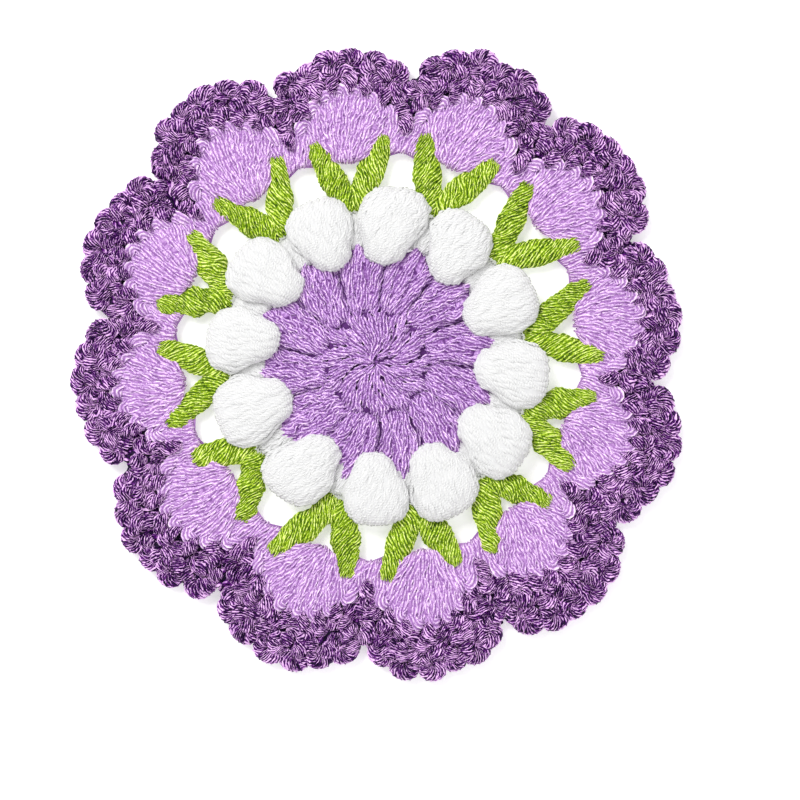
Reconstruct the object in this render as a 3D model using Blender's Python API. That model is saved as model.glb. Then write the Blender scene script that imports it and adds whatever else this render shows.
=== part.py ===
"""Crochet coaster, worked in the round in five yarns, as five solids that nest in one another.

The coaster lies flat with its underside at z = 0. Every round is a band that closes on itself
about +Z. A place on a band is given by its petal coordinate (a whole number on the middle of a
petal, a half in the notch between two petals) and by its distance from the middle.
"""

import math
from collections import namedtuple

import bmesh
import bpy

MM = 0.001
GAP = 0.3 * MM

# One row for each petal, going round from +X. The stem is the foot of the green V and the petal
# is the shell above it. The last four columns are how far each feature reaches from the middle.
Petal = namedtuple("Petal", "stem_deg petal_deg foot_mm tip_mm shell_mm edge_mm")
PETALS = (
    Petal(10.0, 11.0, 29.2, 44.4, 53.8, 60.7),
    Petal(40.6, 40.4, 30.3, 46.0, 56.2, 64.6),
    Petal(69.4, 68.6, 30.5, 45.7, 56.4, 64.8),
    Petal(98.3, 97.0, 29.7, 44.4, 55.2, 62.0),
    Petal(127.0, 125.2, 30.3, 44.6, 56.6, 64.2),
    Petal(155.6, 154.8, 30.5, 44.2, 54.0, 62.2),
    Petal(184.4, 186.1, 28.5, 42.5, 52.4, 59.7),
    Petal(216.3, 218.5, 28.6, 40.5, 51.9, 61.3),
    Petal(255.0, 252.0, 27.2, 42.3, 52.8, 62.3),
    Petal(284.4, 282.6, 28.2, 42.5, 53.6, 63.0),
    Petal(312.8, 311.2, 30.3, 43.6, 54.0, 64.4),
    Petal(341.7, 341.6, 30.1, 43.4, 53.6, 62.2),
)
COUNT = len(PETALS)

# The foot directions hold up to the foot of the V's and the petal directions from their tips on.
FOOT_RADIUS = 30.0 * MM
TIP_RADIUS = 44.0 * MM

CENTRE_THICK = 4.0 * MM
CENTRE_DIMPLE = 0.5 * MM
CENTRE_POINT = 24.4 * MM
# Rings of the centre from its underside up: share of the edge's reach and of the thickness.
CENTRE_RINGS = ((0.965, 0.0), (1.0, 0.4), (0.93, 0.85), (0.5, 1.0))

BOBBLE_THICK = 6.6 * MM
BOBBLE_HALF_LENGTH = 6.5 * MM
BOBBLE_HALF_WIDTH = 5.6 * MM
BOBBLE_SQUARENESS = 2.5
BOBBLE_INSET = 2.6 * MM
CHAIN_THICK = 3.0 * MM

STEM_THICK = 3.2 * MM
CROTCH_RISE = 6.4 * MM
CROTCH_CURVE = 0.85
ARM_OUTSIDE = 0.62
TIP_OUTSIDE = 0.68
LINK_START = 0.74
ARM_END = 0.5 * (ARM_OUTSIDE + TIP_OUTSIDE)
TIP_END = 0.5 * (TIP_OUTSIDE + LINK_START)
LINK_THICK = 1.4 * MM
LINK_WIDTH = 1.5 * MM
LINK_DROP = 2.7 * MM

SHELL_THICK = 3.9 * MM
SHELL_FOOT_DROP = 5.0 * MM
BRIDGE_THICK = 3.6 * MM
BRIDGE_DROP = 3.2 * MM
NOTCH_ABOVE_TIP = 1.3 * MM
SHELL_ROUNDNESS = 1.3

BORDER_THICK = 4.7 * MM
NOTCH_DEPTH = 4.5 * MM
BORDER_ROUNDNESS = 0.7
LOOPS_PER_PETAL = 5
LOOP_DEPTH = 1.1 * MM

# Stations across half a petal, from its middle (0) to the notch beside it (1).
STEM_STATIONS = (0.0, 0.2, 0.36, 0.52, ARM_OUTSIDE, TIP_OUTSIDE, LINK_START, 0.87, 1.0)
BOBBLE_STATIONS = (0.0, 0.2, 0.36, 0.52, 0.68, 0.84, 1.0)

# A band's section: its lower edge is chamfered, it is widest at the side height, and its top is
# set in by the crown inset. A crowned band has a shoulder there and a crest along its middle.
EDGE_CHAMFER = 0.6 * MM
MOST_CHAMFER = 0.2
SIDE_HEIGHT = 0.4
CROWN_INSET = 0.28
SHOULDER_HEIGHT = 0.86

# A sloping edge is measured over this much of a petal to each side. Its gap along the radius
# grows with the slope, up to the steepest.
SLOPE_STEP = 0.02
STEEPEST = 2.2

Station = namedtuple("Station", "place inner outer low high")


def around(half_stations):
    """Petal coordinates of the stations all the way round, each one once."""
    right = [0.5 * t for t in half_stations]
    left = [-0.5 * t for t in half_stations[1:-1]]
    one_petal = sorted(left + right)
    return [k + offset for k in range(COUNT) for offset in one_petal]


def beside(place):
    """The petal a place is on, the petal nearest on that side, and how near the notch it is."""
    k = math.floor(place + 0.5)
    offset = 2.0 * (place - k)
    step = 1 if offset > 0 else -1
    return PETALS[k % COUNT], PETALS[(k + step) % COUNT], abs(offset)


def in_notch(column, own, other):
    """A reach as it is in the notch, half way between the two petals' own reaches."""
    return 0.5 * (getattr(own, column) + getattr(other, column)) * MM


def ease(x):
    x = min(max(x, 0.0), 1.0)
    return x * x * (3.0 - 2.0 * x)


def heading(column, place):
    """Direction of a petal coordinate, in degrees, from one of the two direction columns."""
    k = math.floor(place)
    here = getattr(PETALS[k % COUNT], column) + 360.0 * (k // COUNT)
    there = getattr(PETALS[(k + 1) % COUNT], column) + 360.0 * ((k + 1) // COUNT)
    return here + (there - here) * (place - k)


def point(place, radius, height):
    """A petal coordinate and a radius as a point in space."""
    blend = ease((radius - FOOT_RADIUS) / (TIP_RADIUS - FOOT_RADIUS))
    foot = heading("stem_deg", place)
    angle = math.radians(foot + (heading("petal_deg", place) - foot) * blend)
    return (radius * math.cos(angle), radius * math.sin(angle), height)


def stand_off(edge, place):
    """The step along the radius that keeps the gap square to a sloping edge."""
    before, after = place - SLOPE_STEP, place + SLOPE_STEP
    rise = edge(after) - edge(before)
    turn = math.radians(heading("petal_deg", after) - heading("petal_deg", before))
    slope = min(abs(rise / (turn * edge(place))), STEEPEST)
    return GAP * math.hypot(1.0, slope)


# The edges that two rounds share, as radii. One of the two stands off from it.

def bobble_middle(own, other):
    return in_notch("foot_mm", own, other) - BOBBLE_INSET


def bobble_reach(place):
    """How much of its half length the bobble in the notch has at a place beside its middle."""
    own, other, t = beside(place)
    apart = abs(other.stem_deg - own.stem_deg)
    half_petal = 0.5 * math.radians(min(apart, 360.0 - apart))
    side_step = (1.0 - t) * half_petal * bobble_middle(own, other)
    across = min(side_step / BOBBLE_HALF_WIDTH, 1.0)
    return (1.0 - across ** BOBBLE_SQUARENESS) ** (1.0 / BOBBLE_SQUARENESS)


def bobble_inner(place):
    own, other, _ = beside(place)
    end = bobble_middle(own, other) - BOBBLE_HALF_LENGTH * bobble_reach(place)
    return min(CENTRE_POINT, end)


def bobble_outer(place):
    own, other, _ = beside(place)
    end = bobble_middle(own, other) + BOBBLE_HALF_LENGTH * bobble_reach(place)
    return max(own.foot_mm * MM, end)


def crotch_edge(place):
    """Upper edge of the V, from its crotch out to its tip."""
    own, _, t = beside(place)
    crotch = own.foot_mm * MM + CROTCH_RISE
    along = min(t / TIP_OUTSIDE, 1.0) ** CROTCH_CURVE
    return crotch + (own.tip_mm * MM - crotch) * along


def shell_inner(place):
    own, other, t = beside(place)
    if t < TIP_END:
        return max(own.tip_mm * MM - SHELL_FOOT_DROP, crotch_edge(place) + stand_off(crotch_edge, place))
    return in_notch("tip_mm", own, other) - BRIDGE_DROP


def shell_outer(place):
    own, other, t = beside(place)
    notch = in_notch("tip_mm", own, other) + NOTCH_ABOVE_TIP
    swell = max(math.cos(0.5 * math.pi * t), 0.0) ** SHELL_ROUNDNESS
    return notch + (own.shell_mm * MM - notch) * swell


def border_outer(place):
    own, other, t = beside(place)
    notch = in_notch("edge_mm", own, other) - NOTCH_DEPTH
    swell = max(math.cos(0.5 * math.pi * t), 0.0) ** BORDER_ROUNDNESS
    return notch + (own.edge_mm * MM - notch) * swell


def bobble_stations():
    rows = []
    for place in around(BOBBLE_STATIONS):
        thick = CHAIN_THICK + (BOBBLE_THICK - CHAIN_THICK) * bobble_reach(place)
        rows.append(Station(place, bobble_inner(place), bobble_outer(place), 0.0, thick))
    return rows


def stem_stations():
    """The V's, and from tip to tip between them the low chain that the bridges lie on."""
    rows = []
    for place in around(STEM_STATIONS):
        own, other, t = beside(place)
        if t < ARM_END:
            low_edge = bobble_outer(place) + stand_off(bobble_outer, place)
            rows.append(Station(place, low_edge, crotch_edge(place), 0.0, STEM_THICK))
            continue
        link = in_notch("tip_mm", own, other) - LINK_DROP
        if t < TIP_END:
            link = own.tip_mm * MM - LINK_DROP
        rows.append(Station(place, link, link + LINK_WIDTH, 0.0, LINK_THICK))
    return rows


def shell_stations():
    rows = []
    for place in around(STEM_STATIONS):
        over_link = beside(place)[2] > ARM_END
        low = LINK_THICK + GAP if over_link else 0.0
        high = BRIDGE_THICK if over_link else SHELL_THICK
        outer = shell_outer(place) - stand_off(shell_outer, place)
        rows.append(Station(place, shell_inner(place), outer, low, high))
    return rows


def border_stations():
    """Two stations for each loop of the edging, one on its top and one in the dip beside it."""
    rows = []
    half_loops = 2 * LOOPS_PER_PETAL
    for step in range(COUNT * half_loops):
        place = (step + 0.5) / half_loops
        dip = LOOP_DEPTH if step % 2 else 0.0
        outer = border_outer(place) - dip
        rows.append(Station(place, shell_outer(place), outer, 0.0, BORDER_THICK - 0.5 * dip))
    return rows


def section(row, crowned):
    """Corners of a band across one station, going round it."""
    width = row.outer - row.inner
    thick = row.high - row.low
    chamfer = min(EDGE_CHAMFER, MOST_CHAMFER * width)
    crown = CROWN_INSET * width
    side = row.low + SIDE_HEIGHT * thick
    shoulder = row.low + (SHOULDER_HEIGHT if crowned else 1.0) * thick
    corners = [
        (row.inner + chamfer, row.low),
        (row.outer - chamfer, row.low),
        (row.outer, side),
        (row.outer - crown, shoulder),
        (row.inner + crown, shoulder),
        (row.inner, side),
    ]
    if crowned:
        corners.insert(4, (0.5 * (row.inner + row.outer), row.high))
    return corners


def new_object(name, mesh_builder, material):
    mesh = bpy.data.meshes.new(name)
    mesh_builder.to_mesh(mesh)
    mesh_builder.free()
    mesh.materials.append(material)
    made = bpy.data.objects.new(name, mesh)
    bpy.context.scene.collection.objects.link(made)
    return made


def band(name, rows, material, crowned=False):
    """A ring of cross sections joined into one closed solid."""
    built = bmesh.new()
    loops = []
    for row in rows:
        corners = section(row, crowned)
        loops.append([built.verts.new(point(row.place, r, z)) for r, z in corners])
    for here, there in zip(loops, loops[1:] + loops[:1]):
        for i in range(len(here)):
            j = (i + 1) % len(here)
            built.faces.new((here[i], here[j], there[j], there[i]))
    bmesh.ops.recalc_face_normals(built, faces=built.faces)
    return new_object(name, built, material)


def centre_disc(name, material):
    """The star-edged middle: a low dome with a dimple on top and a flat underside."""
    built = bmesh.new()
    places = around(BOBBLE_STATIONS)
    loops = []
    for reach, height in CENTRE_RINGS:
        edge = [(p, (bobble_inner(p) - stand_off(bobble_inner, p)) * reach) for p in places]
        loops.append([built.verts.new(point(p, r, height * CENTRE_THICK)) for p, r in edge])
    under = built.verts.new((0.0, 0.0, 0.0))
    top = built.verts.new((0.0, 0.0, CENTRE_THICK - CENTRE_DIMPLE))
    count = len(places)
    for i in range(count):
        j = (i + 1) % count
        built.faces.new((under, loops[0][j], loops[0][i]))
        built.faces.new((top, loops[-1][i], loops[-1][j]))
        for low, high in zip(loops, loops[1:]):
            built.faces.new((low[i], low[j], high[j], high[i]))
    bmesh.ops.recalc_face_normals(built, faces=built.faces)
    return new_object(name, built, material)


def yarn(name, colour):
    """A matt yarn in one colour."""
    made = bpy.data.materials.new(name)
    made.use_nodes = True
    surface = made.node_tree.nodes["Principled BSDF"]
    surface.inputs["Base Color"].default_value = (*colour, 1.0)
    surface.inputs["Roughness"].default_value = 0.8
    surface.inputs["Metallic"].default_value = 0.0
    return made


def centre_on_origin(pieces):
    """Move the pieces together so that the middle of their box stands over the origin."""
    xs = [v.co.x for piece in pieces for v in piece.data.vertices]
    ys = [v.co.y for piece in pieces for v in piece.data.vertices]
    shift = (-0.5 * (min(xs) + max(xs)), -0.5 * (min(ys) + max(ys)), 0.0)
    for piece in pieces:
        piece.location = shift


for leftover in list(bpy.data.objects):
    bpy.data.objects.remove(leftover)

centre_on_origin([
    centre_disc("centre_round", yarn("lilac_yarn", (0.42, 0.22, 0.66))),
    band("bobble_round", bobble_stations(), yarn("white_yarn", (0.83, 0.84, 0.85)), crowned=True),
    band("stem_round", stem_stations(), yarn("green_yarn", (0.26, 0.5, 0.02))),
    band("shell_round", shell_stations(), yarn("pale_lilac_yarn", (0.54, 0.31, 0.78))),
    band("border_round", border_stations(), yarn("purple_yarn", (0.16, 0.05, 0.23))),
])
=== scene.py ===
import math
from collections import namedtuple

import bpy
import numpy as np
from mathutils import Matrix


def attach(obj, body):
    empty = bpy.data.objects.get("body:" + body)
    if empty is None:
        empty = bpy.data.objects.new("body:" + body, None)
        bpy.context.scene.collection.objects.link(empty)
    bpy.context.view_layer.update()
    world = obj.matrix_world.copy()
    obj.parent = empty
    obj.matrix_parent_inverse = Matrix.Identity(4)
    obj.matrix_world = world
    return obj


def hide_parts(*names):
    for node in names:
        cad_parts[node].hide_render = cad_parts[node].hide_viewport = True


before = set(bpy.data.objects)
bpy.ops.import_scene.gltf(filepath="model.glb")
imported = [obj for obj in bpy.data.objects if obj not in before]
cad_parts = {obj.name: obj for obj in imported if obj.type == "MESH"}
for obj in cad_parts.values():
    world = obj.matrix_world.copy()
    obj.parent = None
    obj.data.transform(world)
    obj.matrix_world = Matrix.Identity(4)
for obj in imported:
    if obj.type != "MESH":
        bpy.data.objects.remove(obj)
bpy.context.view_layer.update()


# ---------------------------------------------------------------------------------------------
# The star in the middle, in lilac cotton: twelve trebles swirl out of a closed ring, and a puff
# stitch into each space between them fans out to a point of the star. The other rounds are all
# worked onto it, so the lay-out of the whole coaster starts here. Sizes are in millimetres.
# ---------------------------------------------------------------------------------------------

MM = 0.001

# One row a petal, going round from +X. The stem is the foot of the green V and the petal is the
# shell above it. The last four columns are how far each reaches from the middle of the star.
Petal = namedtuple("Petal", "stem_deg petal_deg foot_mm tip_mm shell_mm edge_mm")
PETALS = (
    Petal(10.0, 11.0, 29.2, 44.4, 53.8, 60.7),
    Petal(40.6, 40.4, 30.3, 46.0, 56.2, 64.6),
    Petal(69.4, 68.6, 30.5, 45.7, 56.4, 64.8),
    Petal(98.3, 97.0, 29.7, 44.4, 55.2, 62.0),
    Petal(127.0, 125.2, 30.3, 44.6, 56.6, 64.2),
    Petal(155.6, 154.8, 30.5, 44.2, 54.0, 62.2),
    Petal(184.4, 186.1, 28.5, 42.5, 52.4, 59.7),
    Petal(216.3, 218.5, 28.6, 40.5, 51.9, 61.3),
    Petal(255.0, 252.0, 27.2, 42.3, 52.8, 62.3),
    Petal(284.4, 282.6, 28.2, 42.5, 53.6, 63.0),
    Petal(312.8, 311.2, 30.3, 43.6, 54.0, 64.4),
    Petal(341.7, 341.6, 30.1, 43.4, 53.6, 62.2),
)
COUNT = len(PETALS)
STEM, PETAL, FOOT, TIP, SHELL, EDGE = np.array(PETALS).T
STAR_MIDDLE = np.array((-0.29, 0.162, 0.0))
FOOT_RADIUS = 30.0
TIP_RADIUS = 44.0


def ease(x):
    x = np.clip(x, 0.0, 1.0)
    return x * x * (3.0 - 2.0 * x)


def heading(column, place):
    """Direction in degrees of a place: a whole number on a petal, a half in the notch after it."""
    turns = np.arange(-2, COUNT + 3)
    return np.interp(place, turns, column[turns % COUNT] + 360.0 * (turns // COUNT))


def at(place, radius, height):
    """The point at a place, a distance from the star's middle and a height."""
    place, radius, height = np.broadcast_arrays(place, radius, height)
    blend = ease((radius - FOOT_RADIUS) / (TIP_RADIUS - FOOT_RADIUS))
    foot = heading(STEM, place)
    angle = np.radians(foot + (heading(PETAL, place) - foot) * blend)
    return np.stack((radius * np.cos(angle), radius * np.sin(angle), height), axis=-1) + STAR_MIDDLE


def unit(vectors):
    return vectors / np.maximum(np.linalg.norm(vectors, axis=-1, keepdims=True), 1e-9)


def ripple(chance, length):
    """A slow smooth unevenness over two lengths, between about -1 and 1."""
    waves = chance.normal(size=(5, 2)) * (2.0 * math.pi / length) * 0.6
    phases = chance.uniform(0.0, 2.0 * math.pi, 5)

    def height(x, y):
        total = sum(np.sin(kx * x + ky * y + p) for (kx, ky), p in zip(waves, phases))
        return total / 2.6
    return height


def halving(count):
    """For each strand, the share of full width at which there is room for it."""
    ranks = np.zeros(count)
    for i in range(count):
        share, n = 0.5, i
        while n:
            ranks[i] += share * (n & 1)
            share, n = 0.5 * share, n >> 1
    return ranks


# A length of spun yarn: rings of points along each strand, a tone for each side of each step, and
# where across the colouring each side starts and ends. A closed one joins up with itself.
Spun = namedtuple("Spun", "rings tones spans closed")
TONES = 8
TILE = 10
# A ply has two corners to a ring: the groove beside it and its crest. Across them the colouring paints
# shade in the groove and a highlight on the crest.
PLY_SPANS = ((0.02, 0.5), (0.5, 0.98))


def twist(middle, out, wide, high, chance, plies=3, lay=5.2, groove=0.4, tone=0.0, luck=2.0,
          spots=1):
    """Plied yarn round middle lines. It turns once in each lay, to the left if that is negative.

    Its tone is about the middle one plus tone. It changes by up to luck from ply to ply, and
    along a ply as often as spots in each turn.
    """
    way = unit(np.gradient(middle, axis=1))
    side = unit(np.cross(out, way))
    rise = np.cross(way, side)
    steps = np.linalg.norm(np.diff(middle, axis=1, prepend=middle[:, :1]), axis=-1)
    distance = np.cumsum(steps, axis=1)
    first = chance.uniform(size=(len(middle), 1))
    turned = distance / lay + first + 0.05 * np.sin(distance * 1.3 + 40.0 * first)
    corner = np.arange(2 * plies)
    angle = 2.0 * math.pi * (turned[..., None] + 0.5 * corner / plies)
    reach = np.where(corner % 2 == 0, 1.0 - groove, 1.0)
    across = (wide[..., None] * reach * np.cos(angle))[..., None]
    up = (high[..., None] * reach * np.sin(angle))[..., None]
    rings = middle[:, :, None] + side[:, :, None] * across + rise[:, :, None] * up
    half_way = 0.5 * (turned[:, 1:] + turned[:, :-1])[..., None]
    dash = np.floor(spots * (half_way + (corner // 2 + 0.5) / plies) + 0.25)
    # A sine this steep gives each dash of each ply a share of its own between 0 and 1.
    mixed = np.sin(dash * 12.9898 + corner // 2 * 78.233 + 375.19 * first[..., None]) * 43758.5453
    tones = 0.5 * (TONES - 1) + tone + luck * 2.0 * (mixed - np.floor(mixed) - 0.5)
    tones = np.clip(np.rint(tones), 0, TONES - 1)
    return Spun(rings, tones, np.tile(PLY_SPANS, (plies, 1)), False)


def spin(form, chance, pitch=0.75, span=(0.2, 0.8), reach=(0.0, 1.0), turns=0.0, step=0.45,
         sway=0.25, fill=1.15, flat=0.85, ends=1.2, **ply):
    """Yarns laid side by side on a form, which gives the point at a share v along and w round it.

    span is the part of the way round that they cover and reach the part of the way along. Turned
    ones go round the form as they go along it. Straight ones start where there is room.
    """
    rows, columns = 25, 33
    v_grid = np.linspace(*reach, rows)[:, None] + np.zeros((1, columns))
    w_grid = np.linspace(*span, columns)[None, :] + np.zeros((rows, 1))
    grid = form(v_grid, w_grid)
    widths = np.linalg.norm(np.diff(grid, axis=1), axis=-1).sum(1)
    lengths = np.linalg.norm(np.diff(grid, axis=0), axis=-1).sum(0)
    around = span[1] - span[0]
    lean = math.cos(math.atan2(abs(turns) * widths.mean() / around, lengths.mean()))
    count = max(3, round(widths.max() * lean / pitch))
    start = span[0] + around * (np.arange(count) + 0.5) / count
    v_first = np.full(count, reach[0])
    v_last = np.full(count, reach[1])
    if not turns:
        room = widths / widths.max()
        for i, rank in enumerate(halving(count)):
            enough = np.nonzero(room >= 0.8 * rank)[0]
            v_first[i] = v_grid[enough[0], 0]
            v_last[i] = v_grid[enough[-1], 0]
    part = (v_last - v_first) / (reach[1] - reach[0])
    length = np.interp(start, w_grid[0], lengths) * part
    length = np.hypot(length, abs(turns) * widths.mean() / around)
    stations = np.maximum(4, 3 * np.ceil(length / step / 3.0)).astype(int)
    uneven = ripple(chance, 4.5)
    layer = ripple(chance, 4.0)
    small = 0.01
    spun = []
    for many in np.unique(stations):
        own = np.nonzero((stations == many) & (length > 3.0 * step))[0][:, None]
        if not own.size:
            continue
        along = np.linspace(0.0, 1.0, many + 1)[None, :]
        v = v_first[own] + (v_last - v_first)[own] * along
        w = start[own] + turns * (v - reach[0]) / (reach[1] - reach[0])
        inner = np.clip(v, small, 1.0 - small)
        across = (form(inner, w + small) - form(inner, w - small)) / (2.0 * small)
        ahead = (form(inner + small, w) - form(inner - small, w)) / (2.0 * small)
        out = unit(np.cross(across, ahead))
        radius = np.full(w.shape, 0.5 * fill * pitch)
        if turns:
            heading_on = unit(ahead + across * turns / (reach[1] - reach[0]))
            square = np.linalg.norm(np.cross(heading_on, across), axis=-1)
            radius = np.minimum(0.5 * fill * square * around / count, 1.4 * radius)
        distance = length[own] * along
        taper = ease(np.minimum(distance, length[own] - distance) / ends)
        radius = radius * (0.45 + 0.55 * taper)
        sunk = radius * (flat + 0.6 * (1.0 - taper)) + 0.14 * layer(distance, 3.1 * own)
        drift = sway * uneven(distance + 30.0 * v_first[own], 1.1 * own)
        middle = form(v, w) - out * sunk[..., None] + unit(across) * drift[..., None]
        spun.append(twist(middle, out, radius, radius * flat, chance, **ply))
    return spun


def trebles(v, w):
    """The outside of the first round: one low dome with a dimple and a scalloped edge."""
    place = COUNT * (1.0 - w)
    beat = math.pi * (place - 0.67)
    lobe = np.abs(np.cos(beat)) ** 0.6
    radius = 0.15 + (9.85 + 1.6 * lobe) * v
    swirl = 1.3 * (ease(radius / 11.0) - 1.0)
    ridge = 0.42 * np.cos(2.0 * beat) * ease(radius / 9.0)
    height = 3.45 + 0.75 * ease(radius / 5.0) + ridge - 1.7 * ease((v - 0.75) / 0.25) ** 1.5
    return at(place + swirl, radius, height)


def treble_backs(v, w):
    """The flat underside of the first round."""
    return at(COUNT * w, 0.4 + 10.6 * v, 0.3)


chance = np.random.default_rng(11)
centre = spin(trebles, chance, pitch=0.72, span=(0.0, 1.0), fill=1.6, sway=0.5)
centre += spin(treble_backs, chance, pitch=1.2, span=(0.0, 1.0), step=1.0, fill=1.7, plies=2, lay=8.0)


def both_faces(w):
    """Across a flat form, from 1 to -1 over its top and back underneath, and which face it is."""
    turn = np.mod(w - 0.25, 1.0)
    return np.where(turn < 0.5, 1.0 - 4.0 * turn, 4.0 * turn - 3.0), np.where(turn < 0.5, 1.0, -1.0)


def star_edge(place):
    """How far the star reaches: its points are on the V's and its bays at the bobbles."""
    t = np.abs(2.0 * (place - np.round(place)))
    return 24.9 - 3.5 * (1.0 - (1.0 - t) ** 1.5)


def star_puff(k, size):
    """One puff of the second round, from the notch between two trebles to the star's edge.

    Three shallow creases part the legs of its stitch on the right side of the work.
    """
    def form(v, w):
        f, face = both_faces(w)
        end = k + 0.53 * f
        low = 9.4 + 0.7 * np.abs(f) ** 1.5
        place = k + 0.14 * (1.0 - v) + 0.53 * f
        brow = np.sqrt(np.clip(1.0 - np.abs(2.0 * v - 1.0) ** 5.0, 0.0, 1.0))
        crown = (1.0 - 0.8 * np.abs(f) ** 5.0) * brow
        split = 0.34 * np.cos(3.0 * math.pi * f) * ease(2.0 * v) * brow * (face > 0.0)
        radius = low + (star_edge(end) - 0.2 - low) * v
        return at(place, radius, 2.0 + 1.85 * size * crown * face + split)
    return form


def inside(form, depth, rows=16, columns=14):
    """The hidden body of a form under its yarns, as one closed tube in the darkest tone: painted shade
    where it shows in the gaps between the yarns.
    """
    v = np.linspace(0.02, 0.98, rows)[:, None] + np.zeros((1, columns))
    w = np.arange(columns)[None, :] / columns + np.zeros((rows, 1))
    small = 0.01
    across = form(v, w + small) - form(v, w - small)
    ahead = form(v + small, w) - form(v - small, w)
    rings = form(v, w) - depth * unit(np.cross(across, ahead))
    # Tone 0, low across the ply: painted shade.
    return [Spun(rings[None], np.zeros((1, rows - 1, 1)), np.tile((0.15, 0.3), (columns, 1)), False)]


centre_body = []
for k in range(COUNT):
    puff = star_puff(k, 1.0 + chance.normal(0.0, 0.05))
    centre += spin(puff, chance, pitch=0.72, span=(0.252, 0.748), sway=0.65, lay=6.8, fill=1.5)
    centre += spin(puff, chance, span=(-0.25, 0.25), pitch=1.3, step=1.2, plies=2, lay=8.0)
    centre_body += inside(puff, 0.45, columns=20)

# The hidden body of the star: its share of the star's reach at each height, from below to the top.
places = np.arange(COUNT * 8) / 8.0
star = star_edge(places) - 1.0
Level = namedtuple("Level", "share height")
levels = (
    Level(0.02, 1.3),
    Level(0.5, 1.3),
    Level(0.94, 1.5),
    Level(1.0, 1.6),
    Level(0.97, 1.7),
    Level(0.85, 1.9),
    Level(0.45, 2.4),
    Level(0.4, 2.7),
    Level(0.02, 2.7),
)
disc = np.stack([at(places, star * level.share, level.height) for level in levels])[None]
# It takes the darkest tone: painted shade where it shows between the strands of the star.
disc = [Spun(disc, np.zeros((1, 1, 1)), np.tile((0.0, 0.02), (len(places), 1)), False)]


class Wire:
    """An output of a node, with arithmetic that adds Math nodes to its tree."""

    def __init__(self, tree, socket=None):
        self.tree = tree
        self.socket = socket

    def new(self, kind, settings, sockets):
        node = self.tree.nodes.new(kind)
        for name, value in settings.items():
            if name == "stops":
                ramp = node.color_ramp.elements
                while len(ramp) < len(value):
                    ramp.new(0.5)
                for stop, (position, colour) in zip(ramp, value):
                    stop.position = position
                    stop.color = (*colour, 1.0)
            else:
                setattr(node, name, value)
        for name, value in sockets.items():
            if isinstance(value, Wire):
                self.tree.links.new(value.socket, node.inputs[name])
            else:
                node.inputs[name].default_value = value
        return Wire(self.tree, node.outputs[0])

    def maths(self, operation, *values):
        return self.new("ShaderNodeMath", {"operation": operation}, dict(enumerate(values)))

    def __add__(self, other):
        return self.maths("ADD", self, other)

    __radd__ = __add__

    def __sub__(self, other):
        return self.maths("SUBTRACT", self, other)

    def __rsub__(self, other):
        return self.maths("SUBTRACT", other, self)

    def __mul__(self, other):
        return self.maths("MULTIPLY", self, other)

    __rmul__ = __mul__


def linear(*levels):
    """A colour as a shader takes it, from its red, green and blue out of 255."""
    return tuple((x / 255 / 12.92) if x < 11 else ((x / 255 + 0.055) / 1.055) ** 2.4 for x in levels)


def yarn(name, shades, roughness=0.7, sheen=0.1, vary=0.34, relief=0.4, dashes=4.0):
    """A plied yarn. Its shades are painted light: painted shade in the grooves between the plies, rising
    to painted highlights on their crests.

    vary is the difference that a strand's tone makes and dashes how broken the painted highlights on its
    crests look.
    """
    made = bpy.data.materials.new(name)
    made.use_nodes = True
    tree = made.node_tree
    surface = tree.nodes["Principled BSDF"]
    add = Wire(tree)
    where = add.new("ShaderNodeUVMap", {"uv_map": "OFBake"}, {})
    u = add.new("ShaderNodeSeparateXYZ", {}, {"Vector": where})
    v = Wire(tree, u.socket.node.outputs[1])
    # V says which tone and how far across it. How far across a ply sets the painted shade in its grooves
    # and the painted highlight along its crests. U goes round a circle, so that the unevenness meets
    # itself where a tile ends. The drift breaks up the painted highlights on the crests and the fibre is
    # the fine hair.
    band = v * TONES
    tone = band.maths("FLOOR", band)
    across = band - tone
    # Painted shade and highlight across each ply: 0 in the grooves, 1 along the middle of the crests.
    painted_crest_shading = 1.0 - add.maths("ABSOLUTE", across * 2.0 - 1.0)
    angle = u * (2.0 * math.pi)
    ring_x = add.maths("COSINE", angle)
    ring_y = add.maths("SINE", angle)

    def uneven(ply, apart, scale, detail, rough):
        """Noise along the yarn: ply is how fast it changes across one and apart from tone to tone."""
        point = {"X": ring_x, "Y": ring_y, "Z": across * ply + tone * apart}
        point = add.new("ShaderNodeCombineXYZ", {}, point)
        noise = {"Vector": point, "Scale": scale, "Detail": detail, "Roughness": rough}
        return add.new("ShaderNodeTexNoise", {}, noise)

    drift = uneven(ply=2.5, apart=7.3, scale=1.6, detail=2.0, rough=0.6)
    fibre = uneven(ply=9.0, apart=3.1, scale=2.6, detail=3.0, rough=0.7)
    shade = painted_crest_shading * (0.85 + (drift - 0.5) * dashes) + (fibre - 0.5) * 0.8
    shade = shade + tone * (vary / (TONES - 1)) - 0.12
    colour = add.new("ShaderNodeValToRGB", {"stops": shades}, {"Fac": shade})
    tree.links.new(colour.socket, surface.inputs["Base Color"])
    hair = {"Height": fibre, "Strength": relief, "Distance": 0.15 * MM}
    bump = add.new("ShaderNodeBump", {}, hair)
    tree.links.new(bump.socket, surface.inputs["Normal"])
    surface.inputs["Roughness"].default_value = roughness
    surface.inputs["Specular IOR Level"].default_value = 0.15
    surface.inputs["Sheen Weight"].default_value = sheen
    surface.inputs["Sheen Roughness"].default_value = 0.5
    return made


lilac = yarn("lilac_cotton", (
    (0.05, linear(92, 46, 114)),
    (0.25, linear(134, 86, 156)),
    (0.5, linear(178, 132, 199)),
    (0.75, linear(228, 188, 247)),
    (1.0, linear(254, 226, 255)),
))


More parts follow.
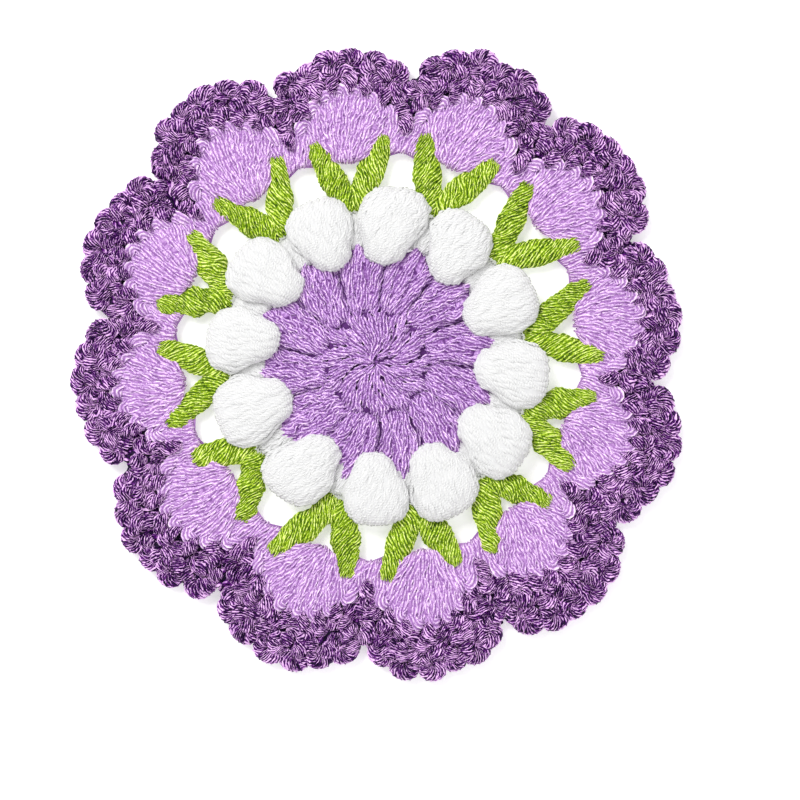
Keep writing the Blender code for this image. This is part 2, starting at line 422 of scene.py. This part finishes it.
def stitched(name, spun):
    """One mesh of closed strands. Its map has the way along a strand in U and its tone in V."""
    corners, faces, sizes, uv = [], [], [], []
    first = 0
    for rings, tones, spans, closed in spun:
        n, m, sides, _ = rings.shape
        corners.append(rings.reshape(-1, 3))
        number = first + np.arange(n * m * sides).reshape(n, m, sides)
        first += n * m * sides
        there = np.roll(number, -1, axis=1) if closed else number[:, 1:]
        here = number if closed else number[:, :-1]
        after = np.roll(np.arange(sides), -1)
        quads = np.stack((here, here[..., after], there[..., after], there), axis=-1)
        faces.append(quads.ravel())
        sizes.append(np.full(quads.size // 4, 4))
        tones = np.broadcast_to(tones, here.shape)
        # Each strand starts three steps further on in the tile than the one before it.
        u = ((np.arange(here.shape[1])[None, :] + 3 * np.arange(n)[:, None]) % TILE) / TILE
        u = u[..., None] + np.zeros(sides)
        low = (tones + spans[:, 0]) / TONES
        high = (tones + spans[:, 1]) / TONES
        on = u + 1.0 / TILE
        uv.append(np.stack((u, low, u, high, on, high, on, low), axis=-1).ravel())
        # The flat ends of the strands, which lie inside the work.
        if not closed:
            faces.append(np.concatenate((number[:, 0, ::-1], number[:, -1])).ravel())
            sizes.append(np.full(2 * n, sides))
            lie = np.stack((np.linspace(0.0, 0.1, sides), np.linspace(0.1, 0.2, sides) / TONES), axis=-1)
            uv.append(np.broadcast_to(lie, (2 * n, sides, 2)).ravel())
    corners = np.concatenate(corners) * MM
    faces = np.concatenate(faces)
    sizes = np.concatenate(sizes)
    mesh = bpy.data.meshes.new(name)
    mesh.vertices.add(len(corners))
    mesh.vertices.foreach_set("co", corners.ravel())
    mesh.loops.add(len(faces))
    mesh.loops.foreach_set("vertex_index", faces)
    mesh.polygons.add(len(sizes))
    mesh.polygons.foreach_set("loop_start", np.concatenate(((0,), np.cumsum(sizes)[:-1])))
    mesh.uv_layers.new(name="OFBake").data.foreach_set("uv", np.concatenate(uv))
    mesh.update(calc_edges=True)
    mesh.validate()
    mesh.shade_flat()
    piece = bpy.data.objects.new(name, mesh)
    bpy.context.scene.collection.objects.link(piece)
    return piece


def finish(name, spun, material, node):
    """A piece of one round: its strands as one mesh, in its yarn, in place of the round's solid."""
    piece = stitched(name, spun)
    piece.data.materials.append(material)
    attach(piece, "root")
    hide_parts(node)
    return piece


centre_stitches = finish("centre_stitches", centre + centre_body, lilac, "centre_round")
centre_inside = finish("centre_inside", disc, lilac, "centre_round")


# ---------------------------------------------------------------------------------------------
# The next round: a bobble in soft white cotton into each bay of the star, and a few chain
# stitches between two of them over the star's point. A bobble is several trebles closed into one,
# so it stands up from the work, and the white yarn is softer and hairier than the others.
# ---------------------------------------------------------------------------------------------

def ring_of(place, inner, outer, low, high):
    """The hidden body of a whole round, as one closed ring in the darkest tone: painted shade where it
    shows between the stitches.
    """
    columns = 12
    square = 0.6
    turn = 2.0 * math.pi * np.arange(columns)[None, :] / columns
    flat = np.sign(np.cos(turn)) * np.abs(np.cos(turn)) ** square
    tall = np.sign(np.sin(turn)) * np.abs(np.sin(turn)) ** square
    middle = (0.5 * (inner + outer))[:, None]
    half = (0.5 * (outer - inner))[:, None]
    height = 0.5 * (low + high) + 0.5 * (high - low) * tall
    rings = at(place[:, None], middle - half * flat, height)
    # The darkest span of the lowest tone: painted shade.
    return [Spun(rings[None], np.zeros((1, 1, 1)), np.tile((0.0, 0.02), (columns, 1)), True)]


def swell(v, f, ends, sides):
    """How full a stitch is at v along it and f across it: 1 in its middle and 0 all round."""
    return np.sqrt(np.clip((1.0 - np.abs(f) ** sides) * (1.0 - np.abs(2.0 * v - 1.0) ** ends), 0.0, 1.0))


def patch(k):
    """The chain stitches between two bobbles, under the foot of the V."""
    def form(v, w):
        f, face = both_faces(w)
        return at(k + 0.23 * f, FOOT[k] - 7.6 + 7.8 * v, 1.9 + 1.9 * swell(v, f, 4.0, 3.0) * face)
    return form


def bobble(k, size, lean):
    """One bobble, from the bay of the star out to the hole beyond it."""
    middle = 0.5 * (FOOT[k] + FOOT[(k + 1) % COUNT]) - 2.6
    gap = math.radians((STEM[(k + 1) % COUNT] - STEM[k]) % 360.0)

    def form(v, w):
        f, face = both_faces(w)
        low = middle - 8.3 * size + 2.4 * np.abs(f) ** 2.0
        top = middle + 7.2 * size - 2.4 * np.abs(f) ** 3.5
        radius = low + (top - low) * v
        half = 4.1 + 3.0 * ease(1.4 * v) - 0.5 * ease(3.0 * v - 2.0)
        place = k + 0.5 + (lean * (v - 0.5) + half * size * f) / radius / gap
        return at(place, radius, 3.3 + 3.3 * swell(v, f, 3.5, 3.0) * face)
    return form


bobbles = []
for k in range(COUNT):
    puff = bobble(k, chance.normal(1.0, 0.02), chance.normal(0.0, 0.8))
    bobbles += spin(puff, chance, span=(0.25, 0.75), pitch=0.75, step=0.62, groove=0.12, flat=0.6,
                    sway=0.5, fill=1.6, ends=0.3)
    bobbles += spin(puff, chance, span=(-0.25, 0.25), pitch=1.4, step=1.4, plies=2, lay=8.0,
                    ends=0.5)
    bobbles += inside(puff, 0.2, rows=16, columns=20)
    bobbles += spin(patch(k), chance, span=(0.245, 0.755), step=0.7, groove=0.3)
    bobbles += inside(patch(k), 0.3, rows=8)
feet = np.interp(places, np.arange(COUNT + 1), np.append(FOOT, FOOT[0]))
bobble_ring = ring_of(places, feet - 5.4, feet - 1.4, 1.0, 2.4)

white = yarn("white_cotton", (
    (0.0, linear(213, 213, 214)),
    (0.4, linear(218, 218, 218)),
    (1.0, linear(226, 226, 225)),
), roughness=0.85, sheen=0.15, relief=0.3, dashes=2.0)
bobble_stitches = finish("bobble_stitches", bobbles, white, "bobble_round")
bobble_inside = finish("bobble_inside", bobble_ring, white, "bobble_round")


# ---------------------------------------------------------------------------------------------
# The next round: a V stitch in green cotton between each two bobbles. It is two trebles into
# one place, so both arms spring from one foot, and a chain carries the yarn from tip to tip. Each
# arm is bound by slanting turns of the yarn, and the lace is open between the V's.
# ---------------------------------------------------------------------------------------------

def through(stops, share):
    """A smooth curve through evenly spaced stops, at shares of the way along it."""
    stops = np.asarray(stops, float)
    ends = np.concatenate((2.0 * stops[:1] - stops[1:2], stops, 2.0 * stops[-1:] - stops[-2:-1]))
    x = np.clip(share, 0.0, 1.0) * (len(stops) - 1)
    i = np.minimum(x.astype(int), len(stops) - 2)
    t = x - i
    if stops.ndim > 1:
        t = t[..., None]
    a, b, c, d = (ends[i + n] for n in range(4))
    return 0.5 * (2 * b + (c - a) * t + (2 * a - 5 * b + 4 * c - d) * t**2
                  + (3 * b - a - 3 * c + d) * t**3)


def cord(stops, wide, high):
    """The outside of a rounded length: half widths and half heights along a curve through stops.

    It gives the point at a share v along it and w round it, with w = 0 and 1 underneath.
    """
    def form(v, w):
        a = through(wide, v)
        b = through(high, v)
        near = 0.02
        ahead = through(stops, np.minimum(v, 1.0 - near) + near)
        way = unit(ahead - through(stops, np.maximum(v, near) - near))
        side = unit(np.cross((0.0, 0.0, 1.0), way))
        rise = np.cross(way, side)
        turn = 2.0 * math.pi * w - 0.5 * math.pi
        turn = turn + 0.5 * (a - b) / (a + b) * np.sin(2.0 * turn)
        return (through(stops, v) + side * (a * np.cos(turn))[..., None]
                + rise * (b * np.sin(turn))[..., None])
    return form


# One row for each stop along an arm, from its foot: how far aside it is, its share of the way
# from the foot to the tip, its height, and its half width and half thickness.
Stop = namedtuple("Stop", "aside share height wide high")
ARM = (
    Stop(0.03, 0.02, 1.7, 2.3, 1.3),
    Stop(0.085, 0.18, 1.95, 2.9, 1.8),
    Stop(0.145, 0.34, 1.85, 2.6, 1.4),
    Stop(0.205, 0.5, 1.95, 2.9, 1.8),
    Stop(0.258, 0.67, 2.1, 2.35, 1.3),
    Stop(0.302, 0.84, 2.5, 2.15, 1.5),
    Stop(0.334, 1.0, 2.7, 1.4, 0.9),
)
aside, share, height, wide, high = np.array(ARM).T
stems = []
for k in range(COUNT):
    for hand in (1.0, -1.0):
        radii = FOOT[k] + (TIP[k] + 0.3 - FOOT[k]) * share
        lump = chance.normal(1.0, 0.06, len(ARM))
        arm = cord(at(k + hand * aside, radii, height), wide * lump, high * lump)
        stems += spin(arm, chance, pitch=0.82, span=(0.0, 1.0), turns=hand * 0.7, step=0.55, sway=0.4,
                      lay=6.0 * hand, luck=2.6, fill=1.3)
        stems += inside(arm, 0.45)
tips = np.interp(places, np.arange(COUNT + 1), np.append(TIP, TIP[0]))
stem_ring = ring_of(places, tips - 2.4, tips + 0.4, 1.0, 2.0)

green = yarn("green_cotton", (
    (0.05, linear(46, 74, 0)),
    (0.25, linear(92, 128, 0)),
    (0.5, linear(146, 180, 0)),
    (0.75, linear(208, 236, 76)),
    (1.0, linear(246, 254, 165)),
))
stem_stitches = finish("stem_stitches", stems, green, "stem_round")
stem_inside = finish("stem_inside", stem_ring, green, "stem_round")


# ---------------------------------------------------------------------------------------------
# The next round: a shell in pale lilac cotton into each V, which is a fan of trebles that share
# one foot, and a stitch over the chain between two V's that ties the shells together. The top
# loops of the trebles lie along each shell's edge.
# ---------------------------------------------------------------------------------------------

def beside(place):
    """A place's petal, the next petal on that side, and its share of the way to their notch."""
    k = np.floor(np.asarray(place) + 0.5).astype(int)
    offset = 2.0 * (place - k)
    return k % COUNT, (k + np.where(offset > 0.0, 1, -1)) % COUNT, np.abs(offset)


def shell_edge(place):
    """How far the round of shells reaches."""
    own, other, t = beside(place)
    notch = 0.5 * (TIP[own] + TIP[other]) + 1.3
    return notch + (SHELL[own] - notch) * np.maximum(np.cos(0.5 * math.pi * t), 0.0) ** 0.85


def shell(k):
    """One fan, from the crotch of its V to just inside its outer edge."""
    def form(v, w):
        f, face = both_faces(w)
        end = k + 0.45 * f
        low = TIP[k] - 5.4 + 0.9 * np.abs(f) ** 1.8
        top = shell_edge(end) - 1.0
        place = k + 0.13 * f + (end - k - 0.13 * f) * v**0.6
        bulge = swell(v, f, 6.0, 4.0)
        ridge = 0.15 * np.cos(8.0 * math.pi * f) * ease(1.5 * v) * (face > 0.0)
        return at(place, low + (top - low) * v, 1.9 + (1.85 + ridge) * bulge * face)
    return form


def bridge(k):
    """The stitch that goes over the chain between the tips of two neighbouring V's."""
    def form(v, w):
        f, face = both_faces(w)
        tips = 0.5 * (TIP[k] + TIP[(k + 1) % COUNT])
        place = k + 0.5 + (0.19 + 0.05 * v) * f
        low = tips - 4.0 - 0.9 * f**2
        return at(place, low + (tips + 3.5 - low) * v, 1.8 + 1.75 * swell(v, f, 5.0, 2.5) * face)
    return form


def rope(stops, wide, high, chance, step=0.4, **ply):
    """One length of plied yarn along a curve through stops, with rounded ends."""
    fine = through(stops, np.linspace(0.0, 1.0, 60))
    far = np.append(0.0, np.cumsum(np.linalg.norm(np.diff(fine, axis=0), axis=-1)))
    many = max(5, round(far[-1] / step))
    distance = np.linspace(0.0, far[-1], many + 1)
    share = np.interp(distance, far, np.linspace(0.0, 1.0, 60))
    middle = through(stops, share)
    way = unit(np.gradient(middle, axis=0))
    out = unit(np.cross(way, np.cross((0.0, 0.0, 1.0), way)))
    taper = 0.35 + 0.65 * ease(np.minimum(distance, far[-1] - distance) / 0.8 + 0.1)
    return [twist(middle[None], out[None], (through(wide, share) * taper)[None],
                  (through(high, share) * taper)[None], chance, **ply)]


LOOPS = 7
LOOP_APART = 0.123
shells = []
loops = []
for k in range(COUNT):
    for form in (shell(k), bridge(k)):
        shells += spin(form, chance, pitch=0.74, span=(0.245, 0.755), step=0.62, sway=0.35, lay=7.2,
                       fill=1.5)
        loops += spin(form, chance, pitch=1.5, span=(-0.25, 0.25), step=1.6, plies=2, lay=8.0)
        loops += inside(form, 0.55, rows=12, columns=16)
    for number in range(LOOPS):
        place = k + LOOP_APART * (number - 0.5 * (LOOPS - 1))
        lie = place + np.array((-0.055, 0.0, 0.055))
        edge = shell_edge(lie) - 0.3
        stops = at(lie, edge - np.array((2.3, 0.9, 1.5)), np.array((2.7, 3.2, 2.7)))
        loops += rope(stops, (0.9, 1.35, 0.9), (0.8, 1.1, 0.7), chance, plies=7, lay=9.0,
                      groove=0.3, tone=1.2)

ring = np.arange(COUNT * 16) / 16.0
tip_reach = np.repeat(tips, 2)
shell_ring = ring_of(ring, tip_reach - 0.3, shell_edge(ring) - 0.8, 1.3, 2.2)

pale = yarn("pale_lilac_cotton", (
    (0.0, linear(130, 82, 152)),
    (0.25, linear(166, 120, 184)),
    (0.5, linear(202, 159, 216)),
    (0.75, linear(238, 202, 250)),
    (1.0, linear(255, 234, 255)),
))
shell_stitches = finish("shell_stitches", shells, pale, "shell_round")
shell_inside = finish("shell_inside", shell_ring, pale, "shell_round")
shell_loops = finish("shell_loops", loops, pale, "shell_round")


# ---------------------------------------------------------------------------------------------
# The last round: the border in dark purple cotton, twisted harder and shinier than the others, with a
# lower roughness and bright painted highlights on its ply crests. It is close short stitches all over
# the shells, caught down between their loops, and a row of small lobes along its edge. From above each
# stitch is one fat turn of the yarn, in no strict order.

def coaster_edge(place):
    """How far the whole coaster reaches, to the outside of its border."""
    own, other, t = beside(place)
    notch = 0.5 * (EDGE[own] + EDGE[other]) - 5.8
    return notch + (EDGE[own] - notch) * np.maximum(np.cos(0.5 * math.pi * t), 0.0) ** 0.7


def by_edge(place, sideways, inward, height):
    """Points beside a place on the coaster's edge: so far round it, so far in from it, so high."""
    before = at(place - 0.01, coaster_edge(place - 0.01), 0.0)
    after = at(place + 0.01, coaster_edge(place + 0.01), 0.0)
    along = unit(after - before)
    return (at(place, coaster_edge(place), 0.0) + np.multiply.outer(sideways, along)
            + np.multiply.outer(inward, np.cross((0.0, 0.0, 1.0), along))
            + np.multiply.outer(height, (0.0, 0.0, 1.0)))


def knot(stops, wide, high):
    """One stitch of the border: a short fat length of the yarn, with its plies lying across it."""
    size = chance.normal(1.0, 0.06)
    lay = chance.uniform(4.4, 5.8) * chance.choice((1.0, -1.0))
    return rope(stops, np.array(wide) * size, np.array(high) * size, chance, step=0.5, plies=11,
                lay=lay, groove=0.2, luck=3.5, spots=9)


LOBES = 6
edging = []
for number in range(COUNT * LOBES):
    place = (number + 0.5) / LOBES - 0.5 + chance.normal(0.0, 0.01)
    half = 1.95 + chance.normal(0.0, 0.2)
    inward = np.array((4.2, 2.1, 2.1, 4.2)) + chance.normal(0.0, 0.35)
    height = np.full(4, 2.1) + chance.uniform(0.0, 0.5)
    stops = by_edge(place, half * np.array((-1.0, -0.6, 0.6, 1.0)), inward, height)
    edging += knot(stops, (1.2, 1.9, 1.9, 1.2), (1.2, 1.8, 1.8, 1.2))

# Stitches of the border wherever there is still room for one, and then those between the loops.
APART = 2.25
TRIES = 9000
row = []
spots = np.zeros((0, 3))
for attempt in range(TRIES):
    place = chance.uniform(-0.5, COUNT - 0.5)
    low = shell_edge(place) + 1.0
    radius = low + (coaster_edge(place) - 3.4 - low) * chance.uniform()
    spot = at(place, radius, 2.1 + chance.uniform(0.0, 0.9))
    if len(spots) and np.linalg.norm(spots - spot, axis=1).min() < APART:
        continue
    spots = np.vstack((spots, spot))
    lie = math.atan2(*(spot - STAR_MIDDLE)[1::-1]) + chance.uniform(-1.1, 1.1)
    way = np.array((math.cos(lie), math.sin(lie), 0.0)) * chance.uniform(1.5, 2.1)
    bend = np.array((-math.sin(lie), math.cos(lie), 0.0)) * chance.normal(0.0, 0.5)
    stops = np.stack((spot - way + bend, spot - bend + (0.0, 0.0, 0.15), spot + way + bend))
    row += knot(stops, (1.3, 1.75, 1.3), (1.2, 1.8, 1.2))
for k in range(COUNT):
    for aside in (-0.308, -0.185, -0.062, 0.062, 0.185, 0.308, 0.5):
        place = k + aside + chance.normal(0.0, 0.008)
        lie = place + chance.normal(0.0, 0.01, 3)
        stops = at(lie, shell_edge(place) + np.array((-1.9, 0.2, 2.4)), np.array((3.6, 3.7, 2.7)))
        row += knot(stops, (0.6, 1.4, 1.3), (0.8, 1.3, 1.2))


def border_backs(v, w):
    """The flat underside of the border, over the inner part of its round."""
    place = COUNT * w
    low = shell_edge(place) - 1.5
    return at(place, low + (coaster_edge(place) - 2.2 - low) * v, 1.0)


row += spin(border_backs, chance, pitch=1.6, span=(0.0, 1.0), step=1.4, fill=1.6, plies=2, lay=8.0,
            tone=-1.0)
border_ring = ring_of(ring, shell_edge(ring) - 1.2, coaster_edge(ring) - 2.4, 1.6, 2.4)

purple = yarn("purple_cotton", (
    (0.18, linear(20, 0, 40)),
    (0.48, linear(56, 0, 82)),
    (0.74, linear(102, 0, 130)),
    (0.95, linear(202, 126, 219)),
    (1.0, linear(250, 206, 255)),
), roughness=0.5, sheen=0.03, vary=0.66, dashes=8.0)
border_row = finish("border_row", row, purple, "border_round")
border_edging = finish("border_edging", edging, purple, "border_round")
border_inside = finish("border_inside", border_ring, purple, "border_round")


# ---------------------------------------------------------------------------------------------
# What the coaster lies on and how it is lit: a plain pale floor, white surroundings, one soft
# lamp from the upper left and a weaker one from the lower right. The camera looks straight down.
# ---------------------------------------------------------------------------------------------

bpy.ops.mesh.primitive_plane_add(size=4.0, location=(0.0, 0.0, -0.0002))
floor = bpy.context.object
floor.name = "floor"
paper = bpy.data.materials.new("floor_paper")
paper.use_nodes = True
paper_surface = paper.node_tree.nodes["Principled BSDF"]
paper_surface.inputs["Base Color"].default_value = (0.8, 0.8, 0.8, 1.0)
paper_surface.inputs["Roughness"].default_value = 0.9
paper_surface.inputs["Emission Color"].default_value = (1.0, 1.0, 1.0, 1.0)
paper_surface.inputs["Emission Strength"].default_value = 0.42
floor.data.materials.append(paper)

world = bpy.data.worlds.new("studio")
world.use_nodes = True
surroundings = world.node_tree.nodes["Background"]
surroundings.inputs["Color"].default_value = (1.0, 1.0, 1.0, 1.0)
surroundings.inputs["Strength"].default_value = 0.7
bpy.context.scene.world = world

# Where each lamp stands and how wide it is, in metres, and its power.
Light = namedtuple("Light", "name x y z size watts")
for light in (
    Light("key", -0.40, 0.50, 0.80, 0.45, 8.0),
    Light("fill", 0.7, -0.5, 0.8, 0.9, 3.0),
):
    lamp = bpy.data.lights.new(light.name, "AREA")
    lamp.energy = light.watts
    lamp.size = light.size
    holder = bpy.data.objects.new(light.name, lamp)
    holder.location = (light.x, light.y, light.z)
    bpy.context.scene.collection.objects.link(holder)
    aim = holder.constraints.new("TRACK_TO")
    aim.target = floor

bpy.context.scene.view_settings.view_transform = "Standard"
LENS = 120.0
SENSOR = 36.0
VIEW_WIDTH = 156.6 * MM
HALF_THICK = 3.0 * MM
# The coaster's middle is this far up and to the left of the middle of the view.
ASIDE = 4.4 * MM
BELOW = 7.1 * MM
camera = bpy.data.objects.new("camera", bpy.data.cameras.new("camera"))
camera.data.lens = LENS
camera.data.sensor_width = SENSOR
camera.location = (ASIDE, -BELOW, VIEW_WIDTH * LENS / SENSOR + HALF_THICK)
camera.data.clip_start = 0.01
bpy.context.scene.collection.objects.link(camera)
bpy.context.scene.camera = camera
